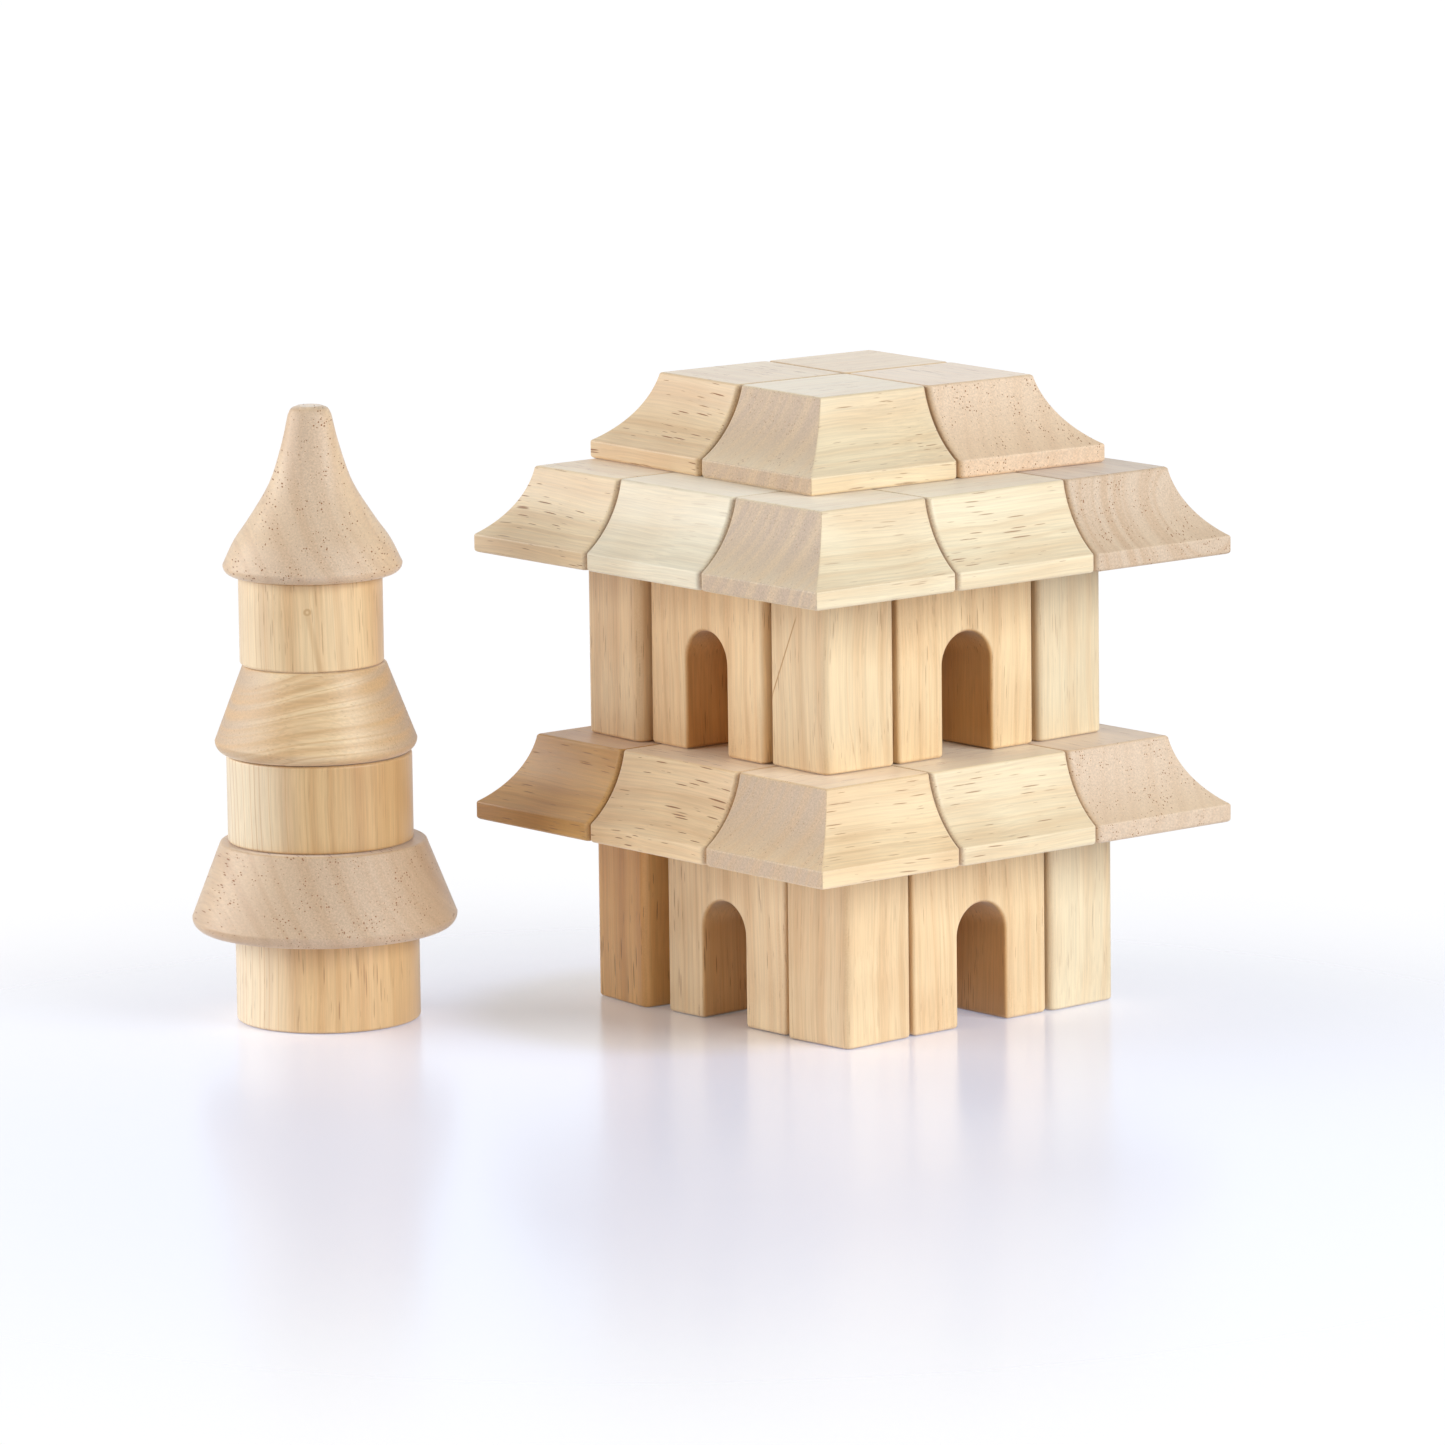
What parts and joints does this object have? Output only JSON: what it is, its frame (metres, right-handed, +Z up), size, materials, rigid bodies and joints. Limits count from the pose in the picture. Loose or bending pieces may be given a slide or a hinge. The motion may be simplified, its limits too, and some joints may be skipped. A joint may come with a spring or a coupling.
{
  "type": "wooden building block set",
  "caption": "Loose natural-wood building blocks stacked as a square pagoda with coved eaves and arched doorways, beside a round tower of turned drums, skirts and a spire.",
  "frame": {"origin": "middle of the whole set's footprint, on the table that it stands on", "axes": "+Z up; the pagoda's walls run along X and Y, its front is -Y and its right side is +X, and the round tower stands off its front left corner"},
  "size_m": [0.1942, 0.2376, 0.175],
  "materials": {
    "cream_wood": "satin, sanded, unpainted",
    "pale_wood": "satin, sanded, unpainted",
    "rosy_wood": "satin, sanded, unpainted"
  },
  "bodies": {
    "lower_post_front_right": {"lower_post_front_right": "cream_wood"},
    "lower_post_front_left": {"lower_post_front_left": "cream_wood"},
    "lower_post_back_right": {"lower_post_back_right": "pale_wood"},
    "lower_post_back_left": {"lower_post_back_left": "cream_wood"},
    "lower_arch_front": {"lower_arch_front": "cream_wood"},
    "lower_arch_right": {"lower_arch_right": "cream_wood"},
    "lower_arch_back": {"lower_arch_back": "cream_wood"},
    "lower_arch_left": {"lower_arch_left": "cream_wood"},
    "lower_eave_corner_front_right": {"lower_eave_corner_front_right": "cream_wood"},
    "lower_eave_corner_front_left": {"lower_eave_corner_front_left": "cream_wood"},
    "lower_eave_corner_back_right": {"lower_eave_corner_back_right": "rosy_wood"},
    "lower_eave_corner_back_left": {"lower_eave_corner_back_left": "cream_wood"},
    "lower_eave_middle_front": {"lower_eave_middle_front": "cream_wood"},
    "lower_eave_middle_right": {"lower_eave_middle_right": "pale_wood"},
    "lower_eave_middle_back": {"lower_eave_middle_back": "cream_wood"},
    "lower_eave_middle_left": {"lower_eave_middle_left": "cream_wood"},
    "upper_post_front_right": {"upper_post_front_right": "cream_wood"},
    "upper_post_front_left": {"upper_post_front_left": "cream_wood"},
    "upper_post_back_right": {"upper_post_back_right": "pale_wood"},
    "upper_post_back_left": {"upper_post_back_left": "cream_wood"},
    "upper_arch_front": {"upper_arch_front": "cream_wood"},
    "upper_arch_right": {"upper_arch_right": "cream_wood"},
    "upper_arch_back": {"upper_arch_back": "cream_wood"},
    "upper_arch_left": {"upper_arch_left": "cream_wood"},
    "upper_eave_corner_front_right": {"upper_eave_corner_front_right": "pale_wood"},
    "upper_eave_corner_front_left": {"upper_eave_corner_front_left": "cream_wood"},
    "upper_eave_corner_back_right": {"upper_eave_corner_back_right": "rosy_wood"},
    "upper_eave_corner_back_left": {"upper_eave_corner_back_left": "cream_wood"},
    "upper_eave_middle_front": {"upper_eave_middle_front": "pale_wood"},
    "upper_eave_middle_right": {"upper_eave_middle_right": "pale_wood"},
    "upper_eave_middle_back": {"upper_eave_middle_back": "cream_wood"},
    "upper_eave_middle_left": {"upper_eave_middle_left": "cream_wood"},
    "roof_cap_front_right": {"roof_cap_front_right": "cream_wood"},
    "roof_cap_front_left": {"roof_cap_front_left": "cream_wood"},
    "roof_cap_back_right": {"roof_cap_back_right": "rosy_wood"},
    "roof_cap_back_left": {"roof_cap_back_left": "cream_wood"},
    "round_base": {"round_base": "cream_wood"},
    "round_lower_skirt": {"round_lower_skirt": "rosy_wood"},
    "round_middle_drum": {"round_middle_drum": "cream_wood"},
    "round_middle_skirt": {"round_middle_skirt": "cream_wood"},
    "round_upper_drum": {"round_upper_drum": "cream_wood"},
    "round_spire": {"round_spire": "rosy_wood"}
  },
  "joints": [
    {"name": "lower_post_front_right_pull", "type": "slide", "parent": "lower_post_back_left", "child": "lower_post_front_right", "axis": [1, 0, 0], "range_m": [0, 0.06]},
    {"name": "lower_post_front_left_pull", "type": "slide", "parent": "lower_post_back_left", "child": "lower_post_front_left", "axis": [-1, 0, 0], "range_m": [0, 0.06]},
    {"name": "lower_post_back_right_pull", "type": "slide", "parent": "lower_post_back_left", "child": "lower_post_back_right", "axis": [1, 0, 0], "range_m": [0, 0.06]},
    {"name": "lower_arch_front_pull", "type": "slide", "parent": "lower_post_back_left", "child": "lower_arch_front", "axis": [0, -1, 0], "range_m": [0, 0.06]},
    {"name": "lower_arch_right_pull", "type": "slide", "parent": "lower_post_back_left", "child": "lower_arch_right", "axis": [1, 0, 0], "range_m": [0, 0.06]},
    {"name": "lower_arch_back_pull", "type": "slide", "parent": "lower_post_back_left", "child": "lower_arch_back", "axis": [0, 1, 0], "range_m": [0, 0.06]},
    {"name": "lower_arch_left_pull", "type": "slide", "parent": "lower_post_back_left", "child": "lower_arch_left", "axis": [-1, 0, 0], "range_m": [0, 0.06]},
    {"name": "lower_eave_corner_front_right_pull", "type": "slide", "parent": "lower_post_back_left", "child": "lower_eave_corner_front_right", "axis": [1, 0, 0], "range_m": [0, 0.06]},
    {"name": "lower_eave_corner_front_left_pull", "type": "slide", "parent": "lower_post_back_left", "child": "lower_eave_corner_front_left", "axis": [-1, 0, 0], "range_m": [0, 0.06]},
    {"name": "lower_eave_corner_back_right_pull", "type": "slide", "parent": "lower_post_back_left", "child": "lower_eave_corner_back_right", "axis": [1, 0, 0], "range_m": [0, 0.06]},
    {"name": "lower_eave_corner_back_left_pull", "type": "slide", "parent": "lower_post_back_left", "child": "lower_eave_corner_back_left", "axis": [-1, 0, 0], "range_m": [0, 0.06]},
    {"name": "lower_eave_middle_front_pull", "type": "slide", "parent": "lower_post_back_left", "child": "lower_eave_middle_front", "axis": [0, -1, 0], "range_m": [0, 0.06]},
    {"name": "lower_eave_middle_right_pull", "type": "slide", "parent": "lower_post_back_left", "child": "lower_eave_middle_right", "axis": [1, 0, 0], "range_m": [0, 0.06]},
    {"name": "lower_eave_middle_back_pull", "type": "slide", "parent": "lower_post_back_left", "child": "lower_eave_middle_back", "axis": [0, 1, 0], "range_m": [0, 0.06]},
    {"name": "lower_eave_middle_left_pull", "type": "slide", "parent": "lower_post_back_left", "child": "lower_eave_middle_left", "axis": [-1, 0, 0], "range_m": [0, 0.06]},
    {"name": "upper_post_front_right_pull", "type": "slide", "parent": "lower_post_back_left", "child": "upper_post_front_right", "axis": [1, 0, 0], "range_m": [0, 0.06]},
    {"name": "upper_post_front_left_pull", "type": "slide", "parent": "lower_post_back_left", "child": "upper_post_front_left", "axis": [-1, 0, 0], "range_m": [0, 0.06]},
    {"name": "upper_post_back_right_pull", "type": "slide", "parent": "lower_post_back_left", "child": "upper_post_back_right", "axis": [1, 0, 0], "range_m": [0, 0.06]},
    {"name": "upper_post_back_left_pull", "type": "slide", "parent": "lower_post_back_left", "child": "upper_post_back_left", "axis": [-1, 0, 0], "range_m": [0, 0.06]},
    {"name": "upper_arch_front_pull", "type": "slide", "parent": "lower_post_back_left", "child": "upper_arch_front", "axis": [0, -1, 0], "range_m": [0, 0.06]},
    {"name": "upper_arch_right_pull", "type": "slide", "parent": "lower_post_back_left", "child": "upper_arch_right", "axis": [1, 0, 0], "range_m": [0, 0.06]},
    {"name": "upper_arch_back_pull", "type": "slide", "parent": "lower_post_back_left", "child": "upper_arch_back", "axis": [0, 1, 0], "range_m": [0, 0.06]},
    {"name": "upper_arch_left_pull", "type": "slide", "parent": "lower_post_back_left", "child": "upper_arch_left", "axis": [-1, 0, 0], "range_m": [0, 0.06]},
    {"name": "upper_eave_corner_front_right_pull", "type": "slide", "parent": "lower_post_back_left", "child": "upper_eave_corner_front_right", "axis": [0.9999, -0.0105, 0], "range_m": [0, 0.06]},
    {"name": "upper_eave_corner_front_left_pull", "type": "slide", "parent": "lower_post_back_left", "child": "upper_eave_corner_front_left", "axis": [-0.9999, 0.0105, 0], "range_m": [0, 0.06]},
    {"name": "upper_eave_corner_back_right_pull", "type": "slide", "parent": "lower_post_back_left", "child": "upper_eave_corner_back_right", "axis": [0.9999, -0.0105, 0], "range_m": [0, 0.06]},
    {"name": "upper_eave_corner_back_left_pull", "type": "slide", "parent": "lower_post_back_left", "child": "upper_eave_corner_back_left", "axis": [-0.9999, 0.0105, 0], "range_m": [0, 0.06]},
    {"name": "upper_eave_middle_front_pull", "type": "slide", "parent": "lower_post_back_left", "child": "upper_eave_middle_front", "axis": [-0.0105, -0.9999, 0], "range_m": [0, 0.06]},
    {"name": "upper_eave_middle_right_pull", "type": "slide", "parent": "lower_post_back_left", "child": "upper_eave_middle_right", "axis": [0.9999, -0.0105, 0], "range_m": [0, 0.06]},
    {"name": "upper_eave_middle_back_pull", "type": "slide", "parent": "lower_post_back_left", "child": "upper_eave_middle_back", "axis": [0.0105, 0.9999, 0], "range_m": [0, 0.06]},
    {"name": "upper_eave_middle_left_pull", "type": "slide", "parent": "lower_post_back_left", "child": "upper_eave_middle_left", "axis": [-0.9999, 0.0105, 0], "range_m": [0, 0.06]},
    {"name": "roof_cap_front_right_lift", "type": "slide", "parent": "lower_post_back_left", "child": "roof_cap_front_right", "axis": [0, 0, 1], "range_m": [0, 0.04]},
    {"name": "roof_cap_front_left_lift", "type": "slide", "parent": "lower_post_back_left", "child": "roof_cap_front_left", "axis": [0, 0, 1], "range_m": [0, 0.04]},
    {"name": "roof_cap_back_right_lift", "type": "slide", "parent": "lower_post_back_left", "child": "roof_cap_back_right", "axis": [0, 0, 1], "range_m": [0, 0.04]},
    {"name": "roof_cap_back_left_lift", "type": "slide", "parent": "lower_post_back_left", "child": "roof_cap_back_left", "axis": [0, 0, 1], "range_m": [0, 0.04]},
    {"name": "round_tower_slide", "type": "slide", "parent": "lower_post_back_left", "child": "round_base", "axis": [-0.64, -0.7684, 0], "range_m": [0, 0.06]},
    {"name": "round_lower_skirt_lift", "type": "slide", "parent": "round_base", "child": "round_lower_skirt", "axis": [0, 0, 1], "range_m": [0, 0.025]},
    {"name": "round_middle_drum_lift", "type": "slide", "parent": "round_lower_skirt", "child": "round_middle_drum", "axis": [0, 0, 1], "range_m": [0, 0.025]},
    {"name": "round_middle_skirt_lift", "type": "slide", "parent": "round_middle_drum", "child": "round_middle_skirt", "axis": [0, 0, 1], "range_m": [0, 0.025]},
    {"name": "round_upper_drum_lift", "type": "slide", "parent": "round_middle_skirt", "child": "round_upper_drum", "axis": [0, 0, 1], "range_m": [0, 0.025]},
    {"name": "round_spire_lift", "type": "slide", "parent": "round_upper_drum", "child": "round_spire", "axis": [0, 0, 1], "range_m": [0, 0.025]}
  ]
}
